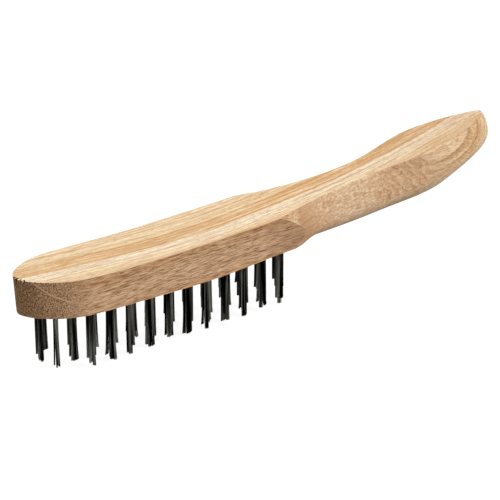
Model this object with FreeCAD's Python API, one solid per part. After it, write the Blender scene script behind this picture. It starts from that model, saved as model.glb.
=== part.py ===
import FreeCAD, Part
import math
import os

# A hand wire brush: a one-piece beech body with four rows of steel wire tufts.
# Each tuft is a folded bundle of wire, pinned in a blind hole by a flat wire anchor.
#
# Millimetres. X runs from the nose to the handle's tip and Z points up. The brush stands on
# its trimmed wire ends at z = 0. It is drawn with the nose at x = 0 and centred on export.

Vec = FreeCAD.Vector

# Whole brush
OVERALL_LENGTH = 288.5
TRIM_LENGTH = 27.0  # free length of the wire below the middle of the head

# Head: a flat-sided plank with a rounded nose
HEAD_WIDTH = 37.0
HEAD_MIDDLE = 80.0
BOW_REACH = 70.0
SIDE_BOW = 0.45  # how much each side has drawn in at BOW_REACH from the middle of the head
NOSE_LENGTH = 30.0
NOSE_ROUNDNESS = 1.75  # exponent of the nose's superellipse
NOSE_STEPS = 9
NOSE_LEAN = 0.06  # slope of the end wall, which is square to the plank where it curves up
STRAIGHT_SIDE_X = (NOSE_LENGTH, 60.0, 100.0, 140.0, 175.0)
PLANK_END_X = 300.0

# Side view of the plank, as (distance from the nose, height above the middle of the underside)
TOP_PROFILE = [(0.0, 21.2), (80.0, 19.0), (150.0, 21.1), (200.0, 24.5), (243.0, 30.7), (290.0, 38.3)]
UNDER_PROFILE = [
    (0.0, 3.1),
    (25.0, 1.6),
    (50.0, 0.9),
    (100.0, 0.0),
    (150.0, 2.3),
    (200.0, 2.2),
    (243.0, 10.1),
    (290.0, 18.7),
]

# Plan of the milled handle, as (distance from the nose, half width at the belly, half width on top)
NECK_PLAN = [
    (125.0, 28.6, 24.1),
    (139.0, 22.2, 17.7),
    (147.5, 19.1, 15.0),
    (157.0, 17.5, 12.9),
    (186.0, 15.1, 9.5),
    (215.0, 15.6, 10.3),
]
SWELL_X = 243.0
SWELL_BELLY = 17.1
SWELL_TOP = 14.2
TOP_TIP_SETBACK = 4.4  # the flat top stops this far short of the handle's end
TIP_ROUNDNESS_BELLY = 1.7  # exponents of the superellipses that round off the handle's end
TIP_ROUNDNESS_TOP = 1.4
TIP_STEPS = 5

# The milled side between the underside, at level 0, and the flat top, at level 1
BELLY_LEVEL = 0.37  # where the handle is widest
NECK_UNDER_RATE = 0.85  # how fast the side draws in below the belly, against above it, at the neck
HANDLE_UNDER_RATE = 3.5
UNDER_RATE_SPAN = (149.0, 167.0)  # where the one changes to the other
SIDE_LEVELS = (-0.1, 0.0, 0.12, 0.24, BELLY_LEVEL, 0.5, 0.66, 0.84, 1.0, 1.1)
LINE_POINTS = 49

# Four straight rows of tufts, as (y, x of the tuft at the nose, x of the next tuft, count)
TUFT_ROWS = [
    (-13.5, 30.4, 41.4, 11),
    (-4.5, 17.6, 26.8, 13),
    (4.5, 14.0, 31.5, 13),
    (13.5, 21.5, 37.9, 11),
]
TUFT_PITCH = 11.0
HOLE_DIAMETER = 4.0
HOLE_DEPTH = 13.0
HOLE_BOTTOM = TRIM_LENGTH + HOLE_DEPTH
DRILL_START = TRIM_LENGTH - 5.0
TUFT_DIAMETER = 3.9
FOLD_CHAMFER = 0.9

# Flat wire anchors
ANCHOR_LENGTH = 5.0
ANCHOR_THICKNESS = 0.4
ANCHOR_HEIGHT = 2.0
ANCHOR_BELOW_HOLE_BOTTOM = 1.2
TUFT_SLOT_SLACK = 0.05


def spline(points):
    """A smooth curve through the points."""
    curve = Part.BSplineCurve()
    curve.interpolate([Vec(*point) for point in points])
    return curve


def polyline(points):
    """Straight edges from point to point."""
    return [Part.LineSegment(a, b).toShape() for a, b in zip(points, points[1:])]


def side_line(profile):
    """One line of the side view, on the plank's middle plane."""
    return spline([(x, 0.0, TRIM_LENGTH + z) for x, z in profile])


def height_at(line, x):
    """The height of a side-view line at x, found by halving the curve."""
    low, high = line.FirstParameter, line.LastParameter
    for _ in range(50):
        middle = 0.5 * (low + high)
        if line.value(middle).x < x:
            low = middle
        else:
            high = middle
    return line.value(low).z


def curved_plank():
    """The plank's side view, carried straight across and wider than the head."""
    top = side_line(TOP_PROFILE)
    under = side_line(UNDER_PROFILE)
    top_start, top_end = top.value(top.FirstParameter), top.value(top.LastParameter)
    under_start, under_end = under.value(under.FirstParameter), under.value(under.LastParameter)
    edges = [top.toShape()] + polyline([top_end, under_end])
    edges += [under.toShape()] + polyline([under_start, top_start])
    face = Part.Face(Part.Wire(edges))
    face.translate(Vec(0, -HEAD_WIDTH, 0))
    return face.extrude(Vec(0, 2 * HEAD_WIDTH, 0))


def head_half_width(x):
    """Half the head's width, whose long sides are slightly bowed."""
    return HEAD_WIDTH / 2 - SIDE_BOW * ((x - HEAD_MIDDLE) / BOW_REACH) ** 2


def nose_points():
    """The rounded nose, from the middle of its end round to the +Y side."""
    points = []
    for step in range(NOSE_STEPS):
        angle = math.pi / 2 * step / NOSE_STEPS
        x = NOSE_LENGTH * (1 - math.cos(angle) ** (2 / NOSE_ROUNDNESS))
        y = head_half_width(x) * math.sin(angle) ** (2 / NOSE_ROUNDNESS)
        points.append((x, y))
    return points


def head_prism():
    """The head's outline seen from above, carried up square to the plank at the nose."""
    half = nose_points() + [(x, head_half_width(x)) for x in STRAIGHT_SIDE_X]
    mirrored = [(x, -y) for x, y in half[:0:-1]]
    outline = spline([(x, y, 0) for x, y in mirrored + half])
    start, end = outline.value(outline.FirstParameter), outline.value(outline.LastParameter)
    back = [end, Vec(PLANK_END_X, end.y, 0), Vec(PLANK_END_X, start.y, 0), start]
    face = Part.Face(Part.Wire([outline.toShape()] + polyline(back)))
    nose_height = TRIM_LENGTH + TOP_PROFILE[0][1]
    face.translate(Vec(NOSE_LEAN * nose_height, 0, 0))
    return face.extrude(Vec(-2 * NOSE_LEAN * nose_height, 0, 2 * nose_height))


def handle_outline(neck, swell, reach, roundness):
    """The handle's outline seen from above, from the +Y side round the tip to the -Y side."""
    half = list(neck)
    for step in range(TIP_STEPS + 1):
        angle = math.pi / 2 * step / TIP_STEPS
        along = math.sin(angle) ** (2 / roundness)
        across = math.cos(angle) ** (2 / roundness)
        half.append((SWELL_X + reach * along, swell * across))
    mirrored = [(x, -y) for x, y in half[-2::-1]]
    return spline([(x, y, 0) for x, y in half + mirrored])


def evenly_along(curve):
    """LINE_POINTS points at even steps of the curve's parameter."""
    first, last = curve.FirstParameter, curve.LastParameter
    step = (last - first) / (LINE_POINTS - 1)
    return [curve.value(first + step * i) for i in range(LINE_POINTS)]


def under_rate(x):
    """How fast the side draws in below the belly at x, against how fast it does so above."""
    start, end = UNDER_RATE_SPAN
    share = min(max((x - start) / (end - start), 0.0), 1.0)
    share = share * share * (3 - 2 * share)
    return NECK_UNDER_RATE + (HANDLE_UNDER_RATE - NECK_UNDER_RATE) * share


def milled_side():
    """The surface that the form cutter leaves right round the handle."""
    top, under = side_line(TOP_PROFILE), side_line(UNDER_PROFILE)
    reach = OVERALL_LENGTH - SWELL_X
    belly_neck = [(x, belly) for x, belly, flat in NECK_PLAN]
    flat_neck = [(x, flat) for x, belly, flat in NECK_PLAN]
    belly = handle_outline(belly_neck, SWELL_BELLY, reach, TIP_ROUNDNESS_BELLY)
    flat = handle_outline(flat_neck, SWELL_TOP, reach - TOP_TIP_SETBACK, TIP_ROUNDNESS_TOP)
    lines = []
    for level in SIDE_LEVELS:
        share = ((level - BELLY_LEVEL) / (1 - BELLY_LEVEL)) ** 2
        line = []
        for wide, narrow in zip(evenly_along(belly), evenly_along(flat)):
            rate = under_rate(wide.x) if level < BELLY_LEVEL else 1.0
            point = wide + (narrow - wide) * share * rate
            bottom = height_at(under, point.x)
            point.z = bottom + level * (height_at(top, point.x) - bottom)
            line.append(point)
        lines.append(line)
    surface = Part.BSplineSurface()
    surface.interpolate(lines)
    return surface.toShape()


def undrilled_body():
    """The largest piece of the plank once the milled side has divided it."""
    plank = curved_plank().common(head_prism())
    pieces, _ = plank.generalFuse([milled_side()])
    return max(pieces.Solids, key=lambda piece: piece.Volume)


def tuft_places():
    """The tufts' centres, one list of (x, y) for each row."""
    rows = []
    for y, first, second, count in TUFT_ROWS:
        rest = [(second + TUFT_PITCH * i, y) for i in range(count - 1)]
        rows.append([(first, y)] + rest)
    return rows


def hole(x, y):
    """A blind hole drilled from below."""
    depth = HOLE_BOTTOM - DRILL_START
    return Part.makeCylinder(HOLE_DIAMETER / 2, depth, Vec(x, y, DRILL_START))


def anchor(x, y, slack=0.0):
    """A short flat wire across the hole, with its ends driven into the wood."""
    thickness = ANCHOR_THICKNESS + 2 * slack
    height = ANCHOR_HEIGHT + 2 * slack
    low = HOLE_BOTTOM - ANCHOR_BELOW_HOLE_BOTTOM - ANCHOR_HEIGHT - slack
    corner = Vec(x - ANCHOR_LENGTH / 2, y - thickness / 2, low)
    return Part.makeBox(ANCHOR_LENGTH, thickness, height, corner)


def tuft(x, y):
    """A bundle of wire, folded over its anchor at the bottom of the hole."""
    radius = TUFT_DIAMETER / 2
    shoulder = HOLE_BOTTOM - FOLD_CHAMFER
    straight = Part.makeCylinder(radius, shoulder, Vec(x, y, 0))
    fold = Part.makeCone(radius, radius - FOLD_CHAMFER, FOLD_CHAMFER, Vec(x, y, shoulder))
    return straight.fuse(fold).cut(anchor(x, y, TUFT_SLOT_SLACK))


def beech_body(places):
    """The wooden body, with a hole for each tuft and a pocket for each anchor's ends."""
    holes = [hole(x, y) for x, y in places]
    pockets = [anchor(x, y) for x, y in places]
    return undrilled_body().cut(Part.makeCompound(holes + pockets))


def export(shape, name):
    """Write one sub-part, with the brush's middle brought to x = 0."""
    centred = shape.copy()
    centred.translate(Vec(-OVERALL_LENGTH / 2, 0, 0))
    centred.exportStep("parts/" + name + ".step")


def main():
    os.makedirs("parts", exist_ok=True)
    rows = tuft_places()
    export(beech_body([place for row in rows for place in row]), "beech_body")
    for number, row in enumerate(rows, 1):
        anchors = [anchor(x, y) for x, y in row]
        export(Part.makeCompound(anchors), "row_%d_anchors" % number)
        for place, (x, y) in enumerate(row, 1):
            export(tuft(x, y), "row_%d_tuft_%02d" % (number, place))


main()
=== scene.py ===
import math
import random

import bmesh
import bpy
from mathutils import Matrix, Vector


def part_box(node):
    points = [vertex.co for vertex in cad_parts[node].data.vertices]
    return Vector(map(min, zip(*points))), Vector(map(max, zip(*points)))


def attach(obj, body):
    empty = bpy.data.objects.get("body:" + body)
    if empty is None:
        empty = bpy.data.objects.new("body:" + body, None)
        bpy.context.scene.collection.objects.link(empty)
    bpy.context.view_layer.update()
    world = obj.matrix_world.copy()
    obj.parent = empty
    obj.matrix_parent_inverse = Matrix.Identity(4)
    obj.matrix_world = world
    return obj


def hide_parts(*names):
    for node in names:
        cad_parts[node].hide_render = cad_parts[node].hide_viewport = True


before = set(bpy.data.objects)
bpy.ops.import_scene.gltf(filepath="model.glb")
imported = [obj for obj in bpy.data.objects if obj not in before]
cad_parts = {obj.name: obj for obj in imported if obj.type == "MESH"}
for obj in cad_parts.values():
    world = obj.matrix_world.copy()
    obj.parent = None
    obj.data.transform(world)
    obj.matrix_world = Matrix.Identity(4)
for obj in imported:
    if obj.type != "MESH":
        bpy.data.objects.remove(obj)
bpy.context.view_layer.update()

# A hand wire brush on a pale floor. The wooden body gets torn fibres and crisp edges, each tuft
# becomes single wires, and the anchors keep their CAD shape.
#
# Metres, in the frame of the CAD: X runs from the nose to the handle's tip, Y to the far side and
# Z up, and the wire ends stand on z = 0. The pattern of the wood is worked out in millimetres.

MM = 0.001
UP = Vector((0, 0, 1))

# Camera
CAMERA_PLACE = (-0.5794, -0.7423, 0.44535)
CAMERA_HEADING = math.radians(37.425)  # from +Y towards +X
CAMERA_DIP = math.radians(24.167)
CAMERA_LENS = 151.1
CAMERA_SENSOR = 36.0
CAMERA_REACH = 20.0

# Light, with each lamp as (name, place, diameter, power)
WORLD_ABOVE = 0.41
WORLD_BELOW = 0.40
HORIZON = 0.15  # how far below and above the horizon the one gives way to the other
LAMPS = [
    ("key", (1.0, -1.3, 1.15), 0.9, 27.0),
    ("back", (-0.1, 1.2, 1.6), 1.2, 20.0),
]
LAMP_AIM = Vector((0, 0, 0.03))

# Floor
FLOOR_SIZE = 30
FLOOR_DROP = 0.1 * MM  # keeps the floor clear of the lowest wire ends
FLOOR_COLOUR = (0.15, 0.15, 0.15, 1.0)
FLOOR_GLOW = 0.92

# Wooden body
WELD = 0.001 * MM
SHARP_ANGLE = math.radians(14.5)
RIM_ANGLE = math.radians(60)
RIM_END_X = -0.112
RIM_LOW_Z = 0.040

# Torn fibres along the rim of the nose
CHIP_SEED = 4
CHIP_FIRST_Y = -0.0125
CHIP_LAST_Y = 0.0012
CHIP_WORST_Y = -0.0012
CHIP_SPREAD = 0.013
CHIP_LEAST = 0.25  # the smallest chips' size against that of the largest
CHIP_WIDTHS = (1.2, 2.0)  # in mm
CHIP_GAPS = (0.0, 0.5)  # in mm
CHIP_INWARD = 2.7 * MM
CHIP_DOWN = 4.2 * MM
CHIP_OUTSIDE = 0.4 * MM
CHIP_ABOVE = 0.25 * MM

# Tufts
HAIRPINS = 20
FIRST_SEED = 100
WIRE_RADIUS = 0.20 * MM
WIRE_SIDES = 6
BUNDLE_RADIUS = 1.95 * MM
WIRE_MARGIN = 1.1  # radii from a wire's middle line to the edge of the bundle
HALF_GAP = 0.45 * MM  # from the anchor's middle to the nearest wire
GOLDEN_SHARE = 0.618034
THIN_TUFTS = {"row_2_tuft_01": 0.62}
CUT_HEIGHTS = (0.0, 0.3 * MM, 1.4 * MM, 2.6 * MM, 3.8 * MM)
THIN_CUT_HEIGHTS = CUT_HEIGHTS[:2]

# Each quarter of a tuft leans and is cut as one clump
QUARTER = math.pi / 2
MOST_LEAN = 0.9 * MM
LEAN_SHARES = (-0.2, 1.0)
LEAN_TURN = 1.1  # radians to either side of the quarter's middle
CUT_SLOPE = 0.45

# How much single wires differ: the spread of their ends' height, their lean and their bow, in mm
TIP_SPREAD = 0.10
LEAN_SPREAD = 0.05
BOW_SPREAD = 0.06
TIP_SLOPE = 0.9
TIP_LIFT = 1.3  # in wire radii, more than the steepest slope takes off, so ends stay above z = 0

# Each leg of a hairpin as (height, what is left of its lean there), and its fold over the anchor
LEG_SPREAD = [(6 * MM, 0.72), (12 * MM, 0.45), (19 * MM, 0.2), (26 * MM, 0.04), (36.6 * MM, 0.0)]
HOLE_MOUTH = 26 * MM
FOLD_HEIGHT = 38.8 * MM
FOLD_RISE = 0.25 * MM
FOLD_RISE_OUTSIDE = 0.6 * MM  # added for the outermost hairpin
FOLD_FOOT = -0.6 * MM
FOLD_SHOULDER = 0.55
FOLD_STEPS = 6

# The head's bowed side, in mm
HEAD_HALF_WIDTH = 18.5
HEAD_MIDDLE_X = -64.25
BOW_REACH = 70.0
SIDE_BOW = 0.45
SIDE_DEPTH = (-0.07, -0.02)  # measured out from that side: up to the first the wood has been milled

# Growth layers in the block, in mm
LAYER_TILT = 0.78  # how far a layer leans towards +Y for each mm up
IN_LAYER_Y = 0.61  # the direction in a layer that lies across the fibre
IN_LAYER_Z = 0.79
WAVE_START_X = 5.0
WAVE_RATE = 0.0349  # radians for each mm of x
WAVE_HEIGHT = 1.4
DRIFT = 0.6
FIRST_LAYER = -66.0
LAYER_RANGE = 50.0
LOWEST_ON_TOP = -51.5
STREAK_LAYER = -36.6
STREAK_EDGE = (4.6, 3.4)
LATE_WOOD_SPACING = 4.0
DARK_RINGS = [(-43.7, 0.34), (-49.5, 0.3), (-53.3, 0.55), (-56.0, 0.55)]  # (layer, half width)
NOSE_RING = (-46.4, 0.5)
RIPPLE_SPACING = 5.3

# Places along the brush in mm, each from where a look is absent to where it is full
SIDE_END = (20.0, 14.0)
SIDE_SURE = (-12.0, -16.0)
SHADE_START = (-24.0, 4.0)
BURNISH_START = (2.0, 7.5)
BURNISH_END = (36.0, 20.0)
MILLED_START = (10.0, 20.0)
MILLED_END = (108.0, 84.0)
RIPPLE_START = (53.0, 61.0)
RIPPLE_END = (96.0, 85.0)
NOSE_NOTCH_SHADE = (-100.0, -105.0)


def srgb(red, green, blue):
    """An opaque colour as Blender wants it, from its 0 to 255 values on a screen."""
    linear = [((v / 255 + 0.055) / 1.055) ** 2.4 for v in (red, green, blue)]
    return (*linear, 1.0)


# Colours across the growth layers, from the lowest to the highest
LAYER_COLOURS = [
    (0.00, srgb(250, 224, 184)),
    (0.196, srgb(250, 224, 184)),
    (0.206, srgb(218, 179, 132)),
    (0.252, srgb(220, 181, 134)),
    (0.262, srgb(226, 190, 145)),
    (0.33, srgb(246, 226, 190)),
    (0.42, srgb(249, 236, 209)),
    (0.505, srgb(248, 233, 205)),
    (0.513, srgb(198, 140, 80)),
    (0.535, srgb(228, 184, 128)),
    (0.57, srgb(236, 198, 146)),
    (0.60, srgb(202, 146, 84)),
    (0.63, srgb(232, 190, 136)),
    (0.67, srgb(212, 160, 100)),
    (0.70, srgb(234, 207, 163)),
    (0.82, srgb(243, 222, 184)),
    (1.00, srgb(243, 220, 181)),
]

# Colours of the wood's figure; the head's side colour also carries painted shade
FADED_STREAK = srgb(242, 216, 174)
LATE_WOOD = srgb(184, 128, 74)
DARK_STREAK = srgb(198, 142, 78)
PALE_STREAK = srgb(253, 233, 194)
THREAD = srgb(184, 128, 72)
RAY_FACE = srgb(214, 166, 120)
# the head's side: its own pinker tone, darkened partly as painted shade
HEAD_SIDE_TONE_AND_SHADE = srgb(214, 163, 119)
DARK_RING = srgb(150, 100, 60)
GRAIN = srgb(166, 112, 66)
FIBRE = srgb(140, 92, 58)
DASH = srgb(180, 136, 96)
DARK_FLECK = srgb(112, 70, 42)
PALE_FLECK = srgb(250, 222, 182)

# Colours that the tools left, with painted shade in some: the end of the head's side, the nose's end face
# and the notches torn out of its rim
BURNISHED = srgb(186, 136, 94)
# painted shade on the head's side towards its end
SHADED_END = srgb(140, 98, 70)
MILLED = srgb(216, 177, 139)
DARK_MOTTLE = srgb(168, 116, 80)
PALE_MOTTLE = srgb(252, 228, 194)
TORN = srgb(196, 142, 98)
DARK_RIPPLE = srgb(146, 96, 58)
PALE_RIPPLE = srgb(246, 214, 172)
ROUND_PORE = srgb(108, 72, 46)
ROUND_WOOD = srgb(222, 178, 136)
# the nose's end face, darker as end grain and as painted shade
SHADED_END_PORE = srgb(70, 45, 23)
SHADED_END_WOOD = srgb(195, 149, 100)
END_LATE_WOOD = srgb(206, 168, 124)
END_RING = srgb(226, 186, 146)
# painted shade in the notches torn out of the nose's rim
NOTCH_SHADE = srgb(38, 24, 15)

# Wire, with the fineness of its patterns in steps for each metre: bands of painted highlight and painted
# shade, and a fine scale
WIRE_PAINTED_BAND_FINENESS = (480.0, 480.0, 16.0)
WIRE_SCALE_FINENESS = (2500.0, 2500.0, 400.0)
# the middle of the painted bands, between painted shade and painted highlight
WIRE_MIDDLE = 0.22  # brightness of the middle tone against that of the bright one
WIRE_SCALE = srgb(40, 33, 27)


class Graph:
    """A tree of nodes, with short names for the ones used here."""

    def __init__(self, tree):
        self.tree = tree

    def node(self, kind, inputs=(), **settings):
        made = self.tree.nodes.new(kind)
        for key, value in settings.items():
            setattr(made, key, value)
        for key, value in dict(inputs).items():
            self.set(made.inputs[key], value)
        return made

    def set(self, socket, value):
        if isinstance(value, bpy.types.NodeSocket):
            self.tree.links.new(value, socket)
        else:
            socket.default_value = value

    def math(self, operation, *values):
        return self.node("ShaderNodeMath", enumerate(values), operation=operation).outputs[0]

    def chain(self, operation, values):
        """One value from many, taken two at a time from the left."""
        result, *others = values
        for other in others:
            result = self.math(operation, result, other)
        return result

    def product(self, *values):
        return self.chain("MULTIPLY", values)

    def total(self, *values):
        return self.chain("ADD", values)

    def highest(self, *values):
        return self.chain("MAXIMUM", values)

    def less(self, first, second):
        return self.math("SUBTRACT", first, second)

    def stretched(self, vector, factors):
        return self.node("ShaderNodeVectorMath", {0: vector, 1: factors}, operation="MULTIPLY").outputs[0]

    def split(self, vector):
        return self.node("ShaderNodeSeparateXYZ", {"Vector": vector}).outputs[:]

    def combine(self, x, y, z):
        return self.node("ShaderNodeCombineXYZ", {"X": x, "Y": y, "Z": z}).outputs[0]

    def noise(self, place, detail, rough):
        inputs = {"Vector": place, "Scale": 1.0, "Detail": detail, "Roughness": rough}
        return self.node("ShaderNodeTexNoise", inputs).outputs["Fac"]

    def span(self, value, low, high, to_low=0.0, to_high=1.0, smooth=True):
        """The value carried from low..high to to_low..to_high, and held at the ends."""
        inputs = {"Value": value, "From Min": low, "From Max": high, "To Min": to_low, "To Max": to_high}
        kind = "SMOOTHSTEP" if smooth else "LINEAR"
        return self.node("ShaderNodeMapRange", inputs, interpolation_type=kind).outputs[0]

    def ramp(self, value, stops):
        made = self.node("ShaderNodeValToRGB", {"Fac": value})
        elements = made.color_ramp.elements
        while len(elements) < len(stops):
            elements.new(0.5)
        for element, (place, colour) in zip(elements, stops):
            element.position = place
            element.color = colour
        return made.outputs[0]

    def paint(self, colour, *coats):
        """Coats of (share, tint), laid over a colour one after another."""
        for share, tint in coats:
            made = self.node("ShaderNodeMix", data_type="RGBA")
            self.set(made.inputs[0], share)
            self.set(made.inputs[6], colour)
            self.set(made.inputs[7], tint)
            colour = made.outputs[2]
        return colour

    def bump(self, strength, distance, height):
        inputs = {"Strength": strength, "Distance": distance, "Height": height}
        return self.node("ShaderNodeBump", inputs).outputs[0]


class Surface(Graph):
    """The graph of a new material, whose shader's inputs are set by name."""

    def __init__(self, name):
        self.material = bpy.data.materials.new(name)
        self.material.use_nodes = True
        super().__init__(self.material.node_tree)
        self.shader = self.tree.nodes["Principled BSDF"]

    def set_shader(self, inputs):
        """Set the shader's inputs and give back the material."""
        for key, value in inputs.items():
            self.set(self.shader.inputs[key], value)
        return self.material


class Beech(Surface):
    """Unfinished beech, whose rings, grain and rays lie in the block, so that all faces agree.

    A share goes from 0, where a look is absent, to 1, where it is full.
    """

    def __init__(self, name):
        super().__init__(name)
        metres = self.node("ShaderNodeTexCoord").outputs["Object"]
        self.place = self.stretched(metres, (1 / MM, 1 / MM, 1 / MM))
        self.x, self.y, self.z = self.split(self.place)
        self.read_facing()
        self.drift = self.spots((0.03, 0.07, 0.07), detail=3.0, rough=0.55)
        self.layer = self.growth_layer()
        self.in_layer = self.total(self.product(self.y, IN_LAYER_Y), self.product(self.z, IN_LAYER_Z))
        self.in_streak = self.span(self.off_layer(STREAK_LAYER), *STREAK_EDGE)
        self.late_wood = self.late_wood_lines()
        self.grain = self.along_grain(0.065, 2.0, 2.6, detail=3.0, rough=0.65)
        self.flecks = self.along_grain(0.20, 1.0, 5.4, detail=2.0, rough=0.5)
        self.dark_fleck = self.span(self.flecks, 0.54, 0.60)
        self.pores = self.spots((1.6, 1.9, 1.9), detail=3.0, rough=0.75)

    def read_facing(self):
        """Which way the surface faces. The faces across the layers show the rays most."""
        normal = self.node("ShaderNodeNewGeometry").outputs["Normal"]
        self.facing_x, facing_y, self.facing_z = self.split(normal)
        self.facing_side = self.math("ABSOLUTE", facing_y)
        self.head_side = self.product(self.span(self.facing_side, 0.40, 0.80), self.on_head_side())
        self.off_head_side = self.less(1.0, self.head_side)
        self.ray_share = self.span(self.facing_side, 0.45, 0.97)
        self.off_top = self.span(self.facing_z, 0.93, 0.75)

    def on_head_side(self):
        """The head's slightly bowed side ends where the handle's cutter went in."""
        from_middle = self.math("DIVIDE", self.less(self.x, HEAD_MIDDLE_X), BOW_REACH)
        side = self.less(HEAD_HALF_WIDTH, self.product(from_middle, from_middle, SIDE_BOW))
        beyond = self.less(self.math("ABSOLUTE", self.y), side)
        near_end = self.product(self.span(beyond, *SIDE_DEPTH), self.span(self.x, *SIDE_END))
        return self.highest(near_end, self.span(self.x, *SIDE_SURE))

    def growth_layer(self):
        """Growth rings lie in gently waving layers, tilted 38 degrees from upright."""
        flat = self.less(self.y, self.product(self.z, LAYER_TILT))
        phase = self.product(self.less(self.x, WAVE_START_X), WAVE_RATE)
        waving = self.less(flat, self.product(self.math("SINE", phase), WAVE_HEIGHT))
        return self.total(waving, self.span(self.drift, 0.2, 0.8, -DRIFT, DRIFT, smooth=False))

    def spots(self, fineness, detail, rough):
        """Noise in the block, as fine as given along x, y and z."""
        return self.noise(self.stretched(self.place, fineness), detail, rough)

    def along_grain(self, per_x, per_layer, per_in_layer, detail, rough):
        """Noise that is drawn out along the fibre."""
        place = self.combine(
            self.product(self.x, per_x),
            self.product(self.layer, per_layer),
            self.product(self.in_layer, per_in_layer),
        )
        return self.noise(place, detail, rough)

    def off_layer(self, at):
        """Distance from one layer."""
        return self.math("ABSOLUTE", self.less(self.layer, at))

    def ring(self, at, half_width):
        """A thin line where one layer comes to the surface."""
        return self.span(self.off_layer(at), half_width, 0.3 * half_width)

    def late_wood_lines(self):
        """Fine lines at the end of each year's growth, unevenly spaced."""
        uneven = self.along_grain(0.004, 0.42, 0.0, detail=4.0, rough=0.6)
        years = self.total(self.math("DIVIDE", self.layer, LATE_WOOD_SPACING), self.product(uneven, 1.8))
        late = self.math("FRACT", years)
        return self.product(self.span(late, 0.74, 0.93), self.span(late, 0.99, 0.96))

    def layer_colour(self):
        """The darkest layers don't reach the flat top, and the orange streak comes and goes."""
        lowest = self.span(self.off_top, 0.0, 1.0, LOWEST_ON_TOP, FIRST_LAYER, smooth=False)
        above_first = self.less(self.highest(self.layer, lowest), FIRST_LAYER)
        colour = self.ramp(self.math("DIVIDE", above_first, LAYER_RANGE), LAYER_COLOURS)
        faded = self.span(self.along_grain(0.035, 1.0, 0.0, detail=3.0, rough=0.6), 0.55, 0.45)
        return self.paint(colour, (self.product(self.in_streak, faded, 0.62), FADED_STREAK))

    def with_rings(self, colour):
        """Ring lines and long streaks, and the pinker tone of the sides, which on the head's side is
        darkened partly as painted shade.
        """
        streak = self.along_grain(0.012, 0.8, 0.15, detail=4.0, rough=0.72)
        thread = self.span(self.along_grain(0.016, 2.8, 0.3, detail=2.0, rough=0.55), 0.52, 0.60)
        rings = self.highest(*[self.ring(*ring) for ring in DARK_RINGS])
        return self.paint(
            colour,
            (self.product(self.late_wood, 0.44), LATE_WOOD),
            (self.span(streak, 0.51, 0.62, 0.0, 0.60), DARK_STREAK),
            (self.span(streak, 0.49, 0.38, 0.0, 0.62), PALE_STREAK),
            (self.product(thread, self.span(self.in_streak, 0.0, 1.0, 0.26, 0.58)), THREAD),
            (self.product(self.ray_share, 0.22), RAY_FACE),
            # painted shade, along with the side's pinker tone, on the head's side
            (self.product(self.head_side, 0.70), HEAD_SIDE_TONE_AND_SHADE),
            (self.product(rings, self.off_top, 0.5), DARK_RING),
        )

    def with_rays(self, colour):
        """Fibres, and the short dark and pale flecks of the rays."""
        fibre = self.span(self.along_grain(0.16, 2.2, 4.6, detail=3.0, rough=0.6), 0.51, 0.60)
        dash = self.span(self.along_grain(0.32, 1.1, 0.7, detail=2.0, rough=0.6), 0.51, 0.64)
        on_all = self.product(self.dark_fleck, self.span(self.ray_share, 0.0, 1.0, 0.08, 0.26))
        on_head = self.product(self.dark_fleck, self.head_side, 0.55)
        pale_fleck = self.span(self.flecks, 0.46, 0.38)
        return self.paint(
            colour,
            (self.span(self.grain, 0.51, 0.62, 0.0, 0.50), GRAIN),
            (self.product(fibre, self.span(self.ray_share, 0.0, 1.0, 0.14, 0.44)), FIBRE),
            (self.product(dash, self.span(self.ray_share, 0.0, 0.5, 0.30, 0.12)), DASH),
            (self.total(on_all, on_head), DARK_FLECK),
            (self.product(pale_fleck, self.span(self.ray_share, 0.0, 1.0, 0.22, 0.40)), PALE_FLECK),
        )

    def with_burnish_and_painted_shade(self, colour):
        """Where the cutter runs out into the head the wood is burnished darker, and the head's side gets
        painted shade towards its end.
        """
        run_out = self.product(self.span(self.x, *BURNISH_START), self.span(self.x, *BURNISH_END))
        run_out = self.product(run_out, self.ray_share, self.off_head_side)
        # painted shade on the head's side, growing towards its end
        shade = self.product(self.head_side, self.span(self.x, *SHADE_START, 0.0, 0.42))
        return self.paint(colour, (self.product(run_out, 0.75), BURNISHED), (shade, SHADED_END))

    def milled_share(self):
        """The handle's sides, which the cutter roughened."""
        along = self.product(self.span(self.x, *MILLED_START), self.span(self.x, *MILLED_END))
        return self.product(along, self.span(self.facing_side, 0.30, 0.62), self.off_head_side)

    def torn_share(self, milled):
        """The stretch of the handle's sides where the cutter tore the wood."""
        along = self.product(self.span(self.x, *RIPPLE_START), self.span(self.x, *RIPPLE_END))
        return self.product(along, milled, self.span(self.drift, 0.36, 0.52, 0.35, 1.0))

    def ripples(self):
        """Dark and pale lines across the handle's sides, stronger here and there."""
        sway = self.spots((0.09, 0.2, 0.2), detail=2.0, rough=0.6)
        along = self.total(self.x, self.product(self.z, 0.7), self.product(sway, 14.0))
        ripple = self.math("FRACT", self.math("DIVIDE", along, RIPPLE_SPACING))
        patchy = self.spots((0.16, 0.3, 0.3), detail=3.0, rough=0.7)
        dark = self.product(self.span(ripple, 0.66, 0.90), self.span(ripple, 1.0, 0.93))
        pale = self.product(self.span(ripple, 0.0, 0.12), self.span(ripple, 0.50, 0.20))
        dark = self.product(dark, self.span(patchy, 0.42, 0.56, 0.15, 1.0))
        pale = self.product(pale, self.span(patchy, 0.56, 0.42, 0.15, 1.0))
        return dark, pale

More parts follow.
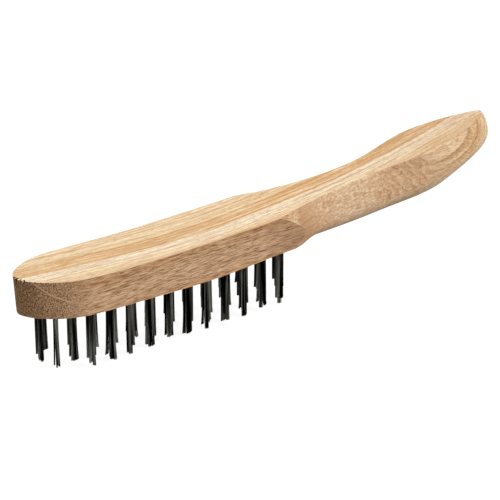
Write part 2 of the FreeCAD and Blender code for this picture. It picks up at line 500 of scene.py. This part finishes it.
    def with_milling(self, colour, milled, torn, dark_ripple, pale_ripple):
        """The roughened and rippled sides of the handle."""
        slanted = self.less(self.x, self.product(self.z, 0.9))
        place = self.combine(slanted, self.z, self.y)
        mottle = self.noise(self.stretched(place, (0.55, 1.1, 0.5)), detail=3.0, rough=0.7)
        return self.paint(
            colour,
            (self.product(milled, 0.50), MILLED),
            (self.product(milled, self.span(mottle, 0.50, 0.62, 0.0, 0.44)), DARK_MOTTLE),
            (self.product(milled, self.span(mottle, 0.48, 0.36, 0.0, 0.50)), PALE_MOTTLE),
            (self.product(torn, 0.30), TORN),
            (self.product(torn, dark_ripple, 0.55), DARK_RIPPLE),
            (self.product(torn, pale_ripple, 0.50), PALE_RIPPLE),
        )

    def with_nose(self, colour):
        """The sawn end of the nose is full of pores, and darker where it faces along -x, partly as end
        grain and partly as painted shade, with painted shade in the notches torn out under its rim.
        """
        solid = self.span(self.pores, 0.43, 0.57)
        round_nose = self.paint(ROUND_PORE, (solid, ROUND_WOOD))
        end_face_and_shade = self.paint(SHADED_END_PORE, (solid, SHADED_END_WOOD))
        nose = self.paint(
            round_nose,
            # painted shade, with the darker end grain, where the nose faces along -x
            (self.span(self.facing_x, -0.40, -0.98), end_face_and_shade),
            (self.product(self.late_wood, 0.20), END_LATE_WOOD),
            (self.product(self.ring(*NOSE_RING), 0.75), END_RING),
        )
        on_nose = self.span(self.facing_x, -0.06, -0.42)
        # painted shade in the notches under the nose's rim
        painted_notch_shade = self.product(
            self.span(self.facing_x, -0.03, -0.10),
            self.span(self.facing_z, 0.08, 0.14),
            self.span(self.x, *NOSE_NOTCH_SHADE),
        )
        return self.paint(colour, (self.product(on_nose, 0.93), nose), (painted_notch_shade, NOTCH_SHADE))

    def whole(self):
        """The material, with a fine relief of grain, flecks, pores and ripples."""
        milled = self.milled_share()
        torn = self.torn_share(milled)
        dark_ripple, pale_ripple = self.ripples()
        colour = self.with_rays(self.with_rings(self.layer_colour()))
        colour = self.with_milling(self.with_burnish_and_painted_shade(colour), milled, torn, dark_ripple, pale_ripple)
        relief = self.total(
            self.product(self.grain, 0.5),
            self.product(self.dark_fleck, -0.3),
            self.product(self.pores, 0.4),
            self.product(torn, dark_ripple, -1.5),
        )
        return self.set_shader({
            "Base Color": self.with_nose(colour),
            "Roughness": self.span(self.grain, 0.3, 0.7, 0.60, 0.76),
            "Specular IOR Level": 0.18,
            "Normal": self.bump(0.5, 0.12 * MM, relief),
        })


def wire_material(name, dark, bright, metallic, edge):
    """Steel wire with stretches painted dull and bright, as painted shade and painted highlights over its
    own dark steel, and a fine scale on it.

    Edge is how bright its reflections are where they only graze it.
    """
    g = Surface(name)
    place = g.node("ShaderNodeTexCoord").outputs["Object"]
    # bands along the wires painted dark and bright: painted shade and painted highlights over the wire's
    # own dark steel
    tone = g.noise(g.stretched(place, WIRE_PAINTED_BAND_FINENESS), detail=2.0, rough=0.55)
    scale = g.noise(g.stretched(place, WIRE_SCALE_FINENESS), detail=3.0, rough=0.6)
    middle = (*(WIRE_MIDDLE * v for v in bright[:3]), 1.0)
    colour = g.ramp(tone, [(0.43, dark), (0.50, middle), (0.59, bright)])
    return g.set_shader({
        "Base Color": g.paint(colour, (g.span(scale, 0.4, 0.7, 0.0, 0.4), WIRE_SCALE)),
        "Roughness": g.span(scale, 0.3, 0.7, 0.32, 0.48),
        "Metallic": metallic,
        "Specular Tint": (edge, edge, edge, 1.0),
        "Normal": g.bump(0.2, 0.04 * MM, scale),
    })


def floor_material():
    """A pale floor that is seen from above only."""
    g = Surface("floor")
    material = g.set_shader({
        "Base Color": FLOOR_COLOUR,
        "Roughness": 0.8,
        "Specular IOR Level": 0.1,
        "Emission Color": (1.0, 1.0, 1.0, 1.0),
        "Emission Strength": FLOOR_GLOW,
    })
    clear = g.node("ShaderNodeBsdfTransparent").outputs[0]
    below = g.node("ShaderNodeNewGeometry").outputs["Backfacing"]
    one_way = g.node("ShaderNodeMixShader", {0: below, 1: g.shader.outputs[0], 2: clear})
    g.set(g.tree.nodes["Material Output"].inputs["Surface"], one_way.outputs[0])
    return material


def put(name, data):
    """An object in the scene with the data given."""
    made = bpy.data.objects.new(name, data)
    bpy.context.scene.collection.objects.link(made)
    return made


def camera():
    """The camera, at the place from which the brush is drawn."""
    data = bpy.data.cameras.new("camera")
    data.lens = CAMERA_LENS
    data.sensor_width = CAMERA_SENSOR
    data.clip_end = CAMERA_REACH
    made = put("camera", data)
    made.location = CAMERA_PLACE
    made.rotation_euler = (math.pi / 2 - CAMERA_DIP, 0.0, -CAMERA_HEADING)
    bpy.context.scene.camera = made


def lamp(name, place, diameter, power):
    """A soft round light that faces the brush."""
    data = bpy.data.lights.new(name, "AREA")
    data.shape = "DISK"
    data.size = diameter
    data.energy = power
    made = put(name, data)
    made.location = place
    made.rotation_euler = (LAMP_AIM - Vector(place)).to_track_quat("-Z", "Y").to_euler()


def sky():
    """Even white light from all round, a little brighter from above."""
    world = bpy.data.worlds.new("studio")
    world.use_nodes = True
    g = Graph(world.node_tree)
    height = g.split(g.node("ShaderNodeTexCoord").outputs["Generated"])[2]
    background = g.tree.nodes["Background"].inputs
    g.set(background["Color"], (1.0, 1.0, 1.0, 1.0))
    strength = g.span(height, -HORIZON, HORIZON, WORLD_BELOW, WORLD_ABOVE, smooth=False)
    g.set(background["Strength"], strength)
    bpy.context.scene.world = world


def lay_floor():
    """The floor, which casts no light of its own on the brush."""
    bpy.ops.mesh.primitive_plane_add(size=FLOOR_SIZE, location=(0, 0, -FLOOR_DROP))
    floor = bpy.context.object
    floor.name = "floor"
    floor.visible_diffuse = False
    floor.visible_glossy = False
    floor.data.materials.append(floor_material())


def studio():
    """Light, floor and plain display colours."""
    display = bpy.context.scene.view_settings
    display.view_transform = "Standard"
    display.look = "None"
    sky()
    for settings in LAMPS:
        lamp(*settings)
    lay_floor()


def rim_of_nose(mesh):
    """The nose's top edge as (y, x, z) corners in order of y."""
    corners = {}
    for edge in mesh.edges:
        if edge.calc_face_angle(0.0) > RIM_ANGLE:
            for v in edge.verts:
                if v.co.x < RIM_END_X and v.co.z > RIM_LOW_Z:
                    corners[round(v.co.y, 5)] = (v.co.y, v.co.x, v.co.z)
    return [corners[key] for key in sorted(corners)]


def on_rim(rim, y):
    """The point of the rim at y."""
    for (y0, x0, z0), (y1, x1, z1) in zip(rim, rim[1:]):
        if y0 <= y <= y1:
            share = (y - y0) / (y1 - y0)
            return Vector((x0 + share * (x1 - x0), y, z0 + share * (z1 - z0)))
    raise ValueError("the rim doesn't reach y = %g" % y)


def add_chip(chips, left, right, middle_share, size):
    """A wedge from left to right along the rim, which runs inwards and down from it."""
    inward = -UP.cross((right - left).normalized())
    middle = left.lerp(right, middle_share)
    outward = UP * CHIP_ABOVE - inward * CHIP_OUTSIDE
    corners = [
        left + outward,
        right + outward,
        middle + inward * size * CHIP_INWARD + UP * CHIP_ABOVE,
        middle - inward * CHIP_OUTSIDE - UP * size * CHIP_DOWN,
    ]
    a, b, c, d = [chips.verts.new(corner) for corner in corners]
    for face in ((a, b, c), (a, d, b), (b, d, c), (c, d, a)):
        chips.faces.new(face)


def torn_chips(rim):
    """Wedges that stand where fibres have torn out of the nose's top edge."""
    draw = random.Random(CHIP_SEED)
    chips = bmesh.new()
    y = CHIP_FIRST_Y
    while y < CHIP_LAST_Y:
        width = draw.uniform(*CHIP_WIDTHS) * MM
        near = 1.0 - abs(y - CHIP_WORST_Y) / CHIP_SPREAD
        size = max(near, CHIP_LEAST) * draw.uniform(0.75, 1.25)
        add_chip(chips, on_rim(rim, y), on_rim(rim, y + width), draw.uniform(0.3, 0.7), size)
        y += width + draw.uniform(*CHIP_GAPS) * MM
    bmesh.ops.recalc_face_normals(chips, faces=chips.faces)
    data = bpy.data.meshes.new("torn_chips")
    chips.to_mesh(data)
    chips.free()
    return put("torn_chips", data)


def carve(body, chips):
    """Cut the chips out of the body for good."""
    cut = body.modifiers.new("torn_chips", "BOOLEAN")
    cut.object = chips
    cut.operation = "DIFFERENCE"
    cut.solver = "EXACT"
    bpy.context.view_layer.update()
    with_cut = body.evaluated_get(bpy.context.evaluated_depsgraph_get())
    carved = bpy.data.meshes.new_from_object(with_cut)
    body.modifiers.clear()
    body.data = carved
    bpy.data.objects.remove(chips)


def sharpen(mesh):
    """Smooth faces with crisp edges between them, in place of the normals that came with the CAD."""
    packed_normals = mesh.attributes.get("custom_normal")
    if packed_normals:
        mesh.attributes.remove(packed_normals)
    mesh.polygons.foreach_set("use_smooth", [True] * len(mesh.polygons))
    mesh.set_sharp_from_angle(angle=SHARP_ANGLE)


def finished_body(material):
    """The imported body, with torn fibres along the rim of its nose and crisp edges between its faces."""
    packed = bmesh.new()
    packed.from_mesh(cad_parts["beech_body"].data)
    bmesh.ops.remove_doubles(packed, verts=packed.verts, dist=WELD)
    rim = rim_of_nose(packed)
    data = bpy.data.meshes.new("beech_body_finished")
    packed.to_mesh(data)
    packed.free()
    data.materials.clear()
    data.materials.append(material)
    body = put("beech_body_finished", data)
    carve(body, torn_chips(rim))
    sharpen(body.data)
    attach(body, "root")
    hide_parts("beech_body")


class Tubes:
    """The mesh of one tuft's wires, in its parts."""

    def __init__(self):
        self.points = []
        self.faces = []
        self.smooth = []

    def add(self, path, cuts):
        """A wire along the path, with flat ends that slope by cuts."""
        first = len(self.points)
        for i, point in enumerate(path):
            ahead = path[min(i + 1, len(path) - 1)] - path[max(i - 1, 0)]
            self.add_hoop(point, ahead, cuts if i in (0, len(path) - 1) else None)
        for i in range(len(path) - 1):
            a, b = first + i * WIRE_SIDES, first + (i + 1) * WIRE_SIDES
            for k in range(WIRE_SIDES):
                n = (k + 1) % WIRE_SIDES
                self.add_face((a + k, a + n, b + n, b + k), True)
        last = first + (len(path) - 1) * WIRE_SIDES
        self.add_face([first + k for k in reversed(range(WIRE_SIDES))], False)
        self.add_face([last + k for k in range(WIRE_SIDES)], False)

    def add_hoop(self, point, ahead, cuts):
        """The corners round one point of a wire, which slope by cuts at its tips."""
        out = ahead.cross(Vector((1, 0, 0))).normalized()
        side = out.cross(ahead).normalized()
        for k in range(WIRE_SIDES):
            turn = 2 * math.pi * k / WIRE_SIDES
            offset = side * math.cos(turn) + out * math.sin(turn)
            corner = point + offset * WIRE_RADIUS
            if cuts:
                corner.z += (offset.x * cuts[0] + offset.y * cuts[1] + TIP_LIFT) * WIRE_RADIUS
            self.points.append(corner)

    def add_face(self, corners, smooth):
        self.faces.append(corners)
        self.smooth.append(smooth)


def bundle_places(count):
    """Even places in the half of the bundle at +y of the anchor, in a unit circle."""
    places = []
    for i in range(count):
        radius = math.sqrt((i + 0.5) / count)
        turn = (i * GOLDEN_SHARE % 1.0) * math.pi
        places.append((radius * math.cos(turn), radius * math.sin(turn)))
    return places


def clumps_of_tips(draw, heights):
    """How each quarter of a tuft leans, where it has been cut and how that cut slopes."""
    clumps = []
    for quarter in range(4):
        turn = (quarter + 0.5) * QUARTER + draw.uniform(-LEAN_TURN, LEAN_TURN)
        lean = Vector((math.cos(turn), math.sin(turn), 0)) * draw.uniform(*LEAN_SHARES) * MOST_LEAN
        slope = (draw.uniform(-CUT_SLOPE, CUT_SLOPE), draw.uniform(-CUT_SLOPE, CUT_SLOPE))
        clumps.append((lean, draw.choice(heights), slope))
    return clumps


def spread(draw, amount):
    """A small random step sideways."""
    return Vector((draw.gauss(0, amount), draw.gauss(0, amount), 0)) * MM


def leg_of_hairpin(draw, middle, x, y, clumps):
    """One leg from its tip up to the fold, at (x, y) from the middle of the tuft."""
    quarter = int((math.atan2(y, x) % (2 * math.pi)) / QUARTER) % 4
    lean, cut, slope = clumps[quarter]
    tip = max(cut + slope[0] * x + slope[1] * y, 0.0) + abs(draw.gauss(0, TIP_SPREAD)) * MM
    own = spread(draw, LEAN_SPREAD)
    bow = spread(draw, BOW_SPREAD)
    leg = []
    for height, share in [(tip, 1.0)] + LEG_SPREAD:
        bend = math.sin(math.pi * min(height / HOLE_MOUTH, 1.0))
        offset = (lean + own) * share * (0.5 + 0.5 * share) + bow * bend
        leg.append(Vector((middle.x + x + offset.x, middle.y + y + offset.y, height)))
    return leg


def fold_of_hairpin(start, end, outside):
    """The arch over the anchor, which is higher for the hairpins at the outside of the tuft."""
    rise = FOLD_RISE + FOLD_RISE_OUTSIDE * outside
    above = [FOLD_FOOT, FOLD_SHOULDER * rise, rise, FOLD_SHOULDER * rise, FOLD_FOOT]
    arch = []
    for step, height in enumerate(above, 1):
        point = start.lerp(end, 0.5 - 0.5 * math.cos(math.pi * step / FOLD_STEPS))
        point.z = FOLD_HEIGHT + height
        arch.append(point)
    return arch


def wires_of_tuft(draw, middle, thinness):
    """Hairpins over the anchor, whose ends have been cut unevenly."""
    reach = (BUNDLE_RADIUS - WIRE_RADIUS * WIRE_MARGIN) * thinness
    clumps = clumps_of_tips(draw, CUT_HEIGHTS if thinness == 1.0 else THIN_CUT_HEIGHTS)
    tubes = Tubes()
    for px, py in bundle_places(round(HAIRPINS * thinness ** 2)):
        legs = []
        for side in (1, -1):
            x = px * reach
            y = side * (HALF_GAP + abs(py) * (reach - HALF_GAP))
            limit = math.hypot(x, y) / reach
            if limit > 1:
                x, y = x / limit, y / limit
            legs.append(leg_of_hairpin(draw, middle, x, y, clumps))
        first, second = legs
        outside = min(abs(first[-1].y - middle.y) / reach, 1.0)
        arch = fold_of_hairpin(first[-1], second[-1], outside)
        cuts = (draw.uniform(-TIP_SLOPE, TIP_SLOPE), draw.uniform(-TIP_SLOPE, TIP_SLOPE))
        tubes.add(first + arch + second[::-1], cuts)
    return tubes


def tuft(name, material, seed):
    """The wires of one tuft, in place of its CAD node."""
    low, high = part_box(name)
    tubes = wires_of_tuft(random.Random(seed), (low + high) / 2, THIN_TUFTS.get(name, 1.0))
    data = bpy.data.meshes.new(name + "_wires")
    data.from_pydata([tuple(point) for point in tubes.points], [], tubes.faces)
    data.polygons.foreach_set("use_smooth", tubes.smooth)
    data.materials.append(material)
    wires = put(name + "_wires", data)
    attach(wires, "root")
    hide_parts(name)


def dress(name, material):
    """Give a CAD node its material."""
    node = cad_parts[name]
    node.data.materials.clear()
    node.data.materials.append(material)


camera()
studio()
finished_body(Beech("beech").whole())
# the dark and bright colours of both wires are painted shade and painted highlights
brush_wire = wire_material("brush_wire", srgb(5, 5, 5), srgb(184, 183, 174), 1.0, edge=0.2)
anchor_wire = wire_material("anchor_wire", srgb(120, 119, 117), srgb(190, 188, 185), 0.95, edge=1.0)
for seed, name in enumerate(sorted(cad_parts), FIRST_SEED):
    if "_tuft_" in name:
        tuft(name, brush_wire, seed)
    elif name.endswith("_anchors"):
        dress(name, anchor_wire)
